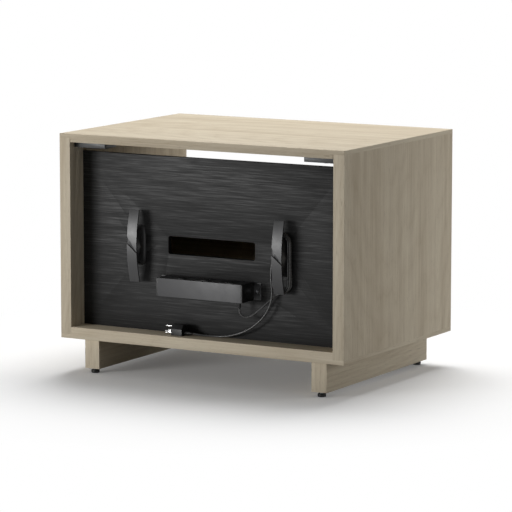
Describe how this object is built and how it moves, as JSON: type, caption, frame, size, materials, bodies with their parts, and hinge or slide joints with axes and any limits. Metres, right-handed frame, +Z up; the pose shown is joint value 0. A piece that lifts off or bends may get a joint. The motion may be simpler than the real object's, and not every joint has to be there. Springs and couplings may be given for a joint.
{
  "type": "media cabinet",
  "caption": "Low wooden media cabinet: open component bay over two pivot-hung doors, inner shelf, and a recessed back with cable slot, cord wraps and a corded power box.",
  "frame": {"origin": "on the floor under the middle of the case", "axes": "+Z up, the doors face -Y and the power box faces +Y, +X is to the right when facing the doors"},
  "size_m": [0.7, 0.5, 0.525],
  "materials": {
    "oak_veneer": "light greige oak veneer, matt lacquer",
    "black_veneer": "black-stained oak veneer, satin",
    "graphite_plastic": "moulded dark grey nylon, fine texture",
    "graphite_coat": "dark grey powder coat",
    "black_plastic": "black moulded plastic",
    "black_coat": "black powder coat",
    "steel": "zinc-plated steel",
    "brass": "turned brass",
    "nylon": "natural nylon",
    "beech": "fluted beech dowel",
    "cord_jacket": "soft black PVC jacket",
    "foot_plastic": "black polypropylene",
    "plated_blades": "nickel-plated brass"
  },
  "bodies": {
    "case": {"top_panel": "oak_veneer", "side_left": "oak_veneer", "side_right": "oak_veneer", "bottom_panel": "oak_veneer", "component_shelf": "oak_veneer", "adjustable_shelf": "oak_veneer", "back_panel": "black_veneer", "shelf_pins": "steel", "top_dowels": "beech", "base_screws": "steel", "shelf_dowels": "beech", "corner_bracket_left": "black_coat", "corner_bracket_right": "black_coat", "bracket_bolts": "black_coat", "top_inserts": "brass", "leg_left": "oak_veneer", "leg_right": "oak_veneer", "leg_screws": "steel", "foot_inserts": "brass", "pivot_bushes": "nylon", "door_catches": "black_plastic", "catch_screws": "steel", "cord_wrap_left": "graphite_plastic", "cord_wrap_right": "graphite_plastic", "wrap_screws": "steel", "power_bracket": "graphite_coat", "ear_screws": "steel", "power_housing": "graphite_coat", "end_cap_left": "black_plastic", "end_cap_right": "black_plastic", "stud_nuts": "steel", "outlets": "black_plastic", "bus_bars": "brass", "cord_gland": "cord_jacket", "cord_lead": "cord_jacket", "cord_coil": "cord_jacket", "cord_tail": "cord_jacket", "plug_sleeve": "cord_jacket", "plug_body": "cord_jacket", "plug_prongs": "plated_blades"},
    "left_door": {"door_left": "oak_veneer", "pivot_pins_left": "steel", "strike_left": "steel", "strike_screw_left": "steel"},
    "right_door": {"door_right": "oak_veneer", "pivot_pins_right": "steel", "strike_right": "steel", "strike_screw_right": "steel"},
    "switch": {"power_switch": "black_plastic"},
    "foot_fl": {"foot_stem_fl": "steel", "foot_pad_fl": "foot_plastic"},
    "foot_fr": {"foot_stem_fr": "steel", "foot_pad_fr": "foot_plastic"},
    "foot_rl": {"foot_stem_rl": "steel", "foot_pad_rl": "foot_plastic"},
    "foot_rr": {"foot_stem_rr": "steel", "foot_pad_rr": "foot_plastic"}
  },
  "joints": [
    {"name": "left_door_hinge", "type": "hinge", "parent": "case", "child": "left_door", "pos_m": [-0.309, -0.228, 0.2], "axis": [0, 0, -1], "range_deg": [0, 110]},
    {"name": "right_door_hinge", "type": "hinge", "parent": "case", "child": "right_door", "pos_m": [0.309, -0.228, 0.2], "axis": [0, 0, 1], "range_deg": [0, 110]},
    {"name": "switch_rocker", "type": "hinge", "parent": "case", "child": "switch", "pos_m": [0.103, 0.224, 0.2075], "axis": [0, 1, 0], "range_deg": [-14, 0]},
    {"name": "foot_fl_screw", "type": "slide", "parent": "case", "child": "foot_fl", "axis": [0, 0, 1], "range_m": [-0.008, 0.0025]},
    {"name": "foot_fr_screw", "type": "slide", "parent": "case", "child": "foot_fr", "axis": [0, 0, 1], "range_m": [-0.008, 0.0025]},
    {"name": "foot_rl_screw", "type": "slide", "parent": "case", "child": "foot_rl", "axis": [0, 0, 1], "range_m": [-0.008, 0.0025]},
    {"name": "foot_rr_screw", "type": "slide", "parent": "case", "child": "foot_rr", "axis": [0, 0, 1], "range_m": [-0.008, 0.0025]}
  ]
}
